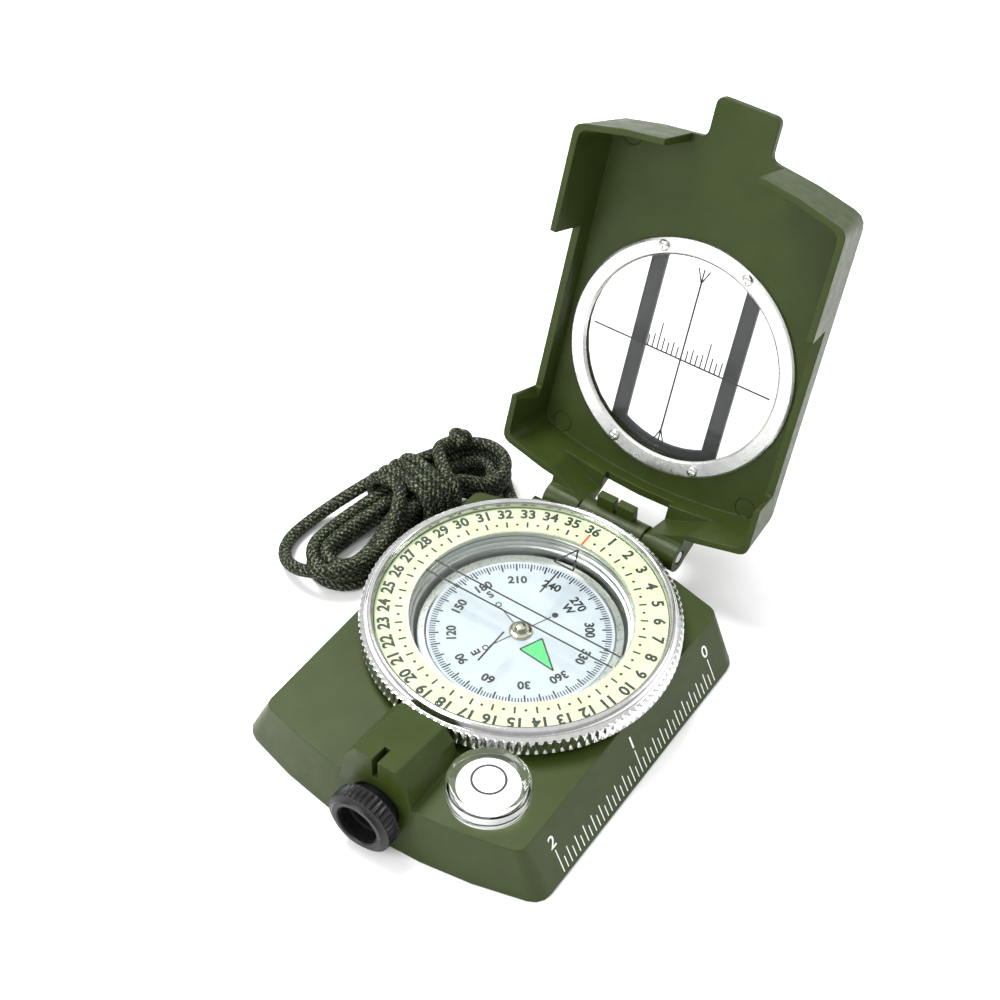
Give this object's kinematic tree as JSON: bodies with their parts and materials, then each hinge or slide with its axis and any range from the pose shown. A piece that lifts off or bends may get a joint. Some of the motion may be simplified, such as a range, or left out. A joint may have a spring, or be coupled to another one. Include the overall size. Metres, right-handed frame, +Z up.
{
  "type": "sighting compass",
  "caption": "Folding sighting compass: die-cast base with liquid dial, turning bezel, bubble level and prism eyepiece, hinged lid with a hairline sight window, and a braided lanyard.",
  "frame": {"origin": "centre of the base's underside", "axes": "+Z up, +Y from the eyepiece to the lid hinge, +X to the ruler side"},
  "size_m": [0.0814, 0.118, 0.0866],
  "materials": {
    "olive_enamel": "satin",
    "screw_steel": "polished",
    "pin_steel": "satin",
    "bezel_metal": "polished",
    "window_ring_metal": "satin",
    "strip_grey": "satin",
    "clear_glass": "polished",
    "clear_acrylic": "polished",
    "level_white": "gloss",
    "black_plastic": "matte",
    "seal_rubber": "matte",
    "capsule_grey": "satin",
    "card_white": "matte",
    "magnet_steel": "satin",
    "cap_brass": "polished",
    "luminous_cream": "matte",
    "cord_fabric": "woven"
  },
  "bodies": {
    "base": {"base_housing": "olive_enamel", "base_cover": "olive_enamel", "cover_screw_1": "screw_steel", "cover_screw_2": "screw_steel", "cover_screw_3": "screw_steel", "cover_screw_4": "screw_steel", "capsule_cup": "capsule_grey", "capsule_gasket": "seal_rubber", "capsule_window": "clear_glass", "pivot_post": "pin_steel", "bezel_slip_ring": "seal_rubber", "bezel_snap_wire": "pin_steel", "level_body": "clear_acrylic", "level_disc": "level_white", "prism": "clear_glass", "eyepiece_barrel": "black_plastic", "hinge_pin": "pin_steel", "lanyard_lead": "cord_fabric", "lanyard_stopper": "cord_fabric", "lanyard_hank": "cord_fabric"},
    "lid": {"lid_shell": "olive_enamel", "window_ring": "window_ring_metal", "sight_glass": "clear_glass", "window_screw_1": "screw_steel", "window_screw_2": "screw_steel", "window_screw_3": "screw_steel", "window_screw_4": "screw_steel", "sight_strip": "strip_grey"},
    "bezel": {"bezel_ring": "bezel_metal", "number_ring": "luminous_cream", "bezel_glass": "clear_glass"},
    "card": {"compass_card": "card_white", "card_magnet": "magnet_steel", "jewel_cap": "cap_brass"},
    "eyepiece": {"eyepiece_ring": "black_plastic"},
    "lens": {"lens_cell": "black_plastic", "eye_lens": "clear_glass"}
  },
  "joints": [
    {"name": "lid_hinge", "type": "hinge", "parent": "base", "child": "lid", "pos_m": [0, 0.03935, 0.01169], "axis": [-1, 0, 0], "range_deg": [-108.1, 61.9]},
    {"name": "bezel_turn", "type": "hinge", "parent": "base", "child": "bezel", "pos_m": [0, 0.00758, 0.015], "axis": [0, 0, -1], "continuous": true},
    {"name": "card_float", "type": "hinge", "parent": "base", "child": "card", "pos_m": [0, 0.00758, 0.0107], "axis": [0, 0, -1], "continuous": true},
    {"name": "eyepiece_focus", "type": "hinge", "parent": "base", "child": "eyepiece", "pos_m": [0, -0.0395, 0.0074], "axis": [0, 1, 0], "range_deg": [-150, 150]},
    {"name": "lens_travel", "type": "slide", "parent": "base", "child": "lens", "axis": [0, 1, 0], "range_m": [-0.0004, 0.0004]}
  ],
  "couplings": [
    {"joint": "eyepiece_focus", "follows": "lens_travel", "rad_per_m": 6540}
  ]
}
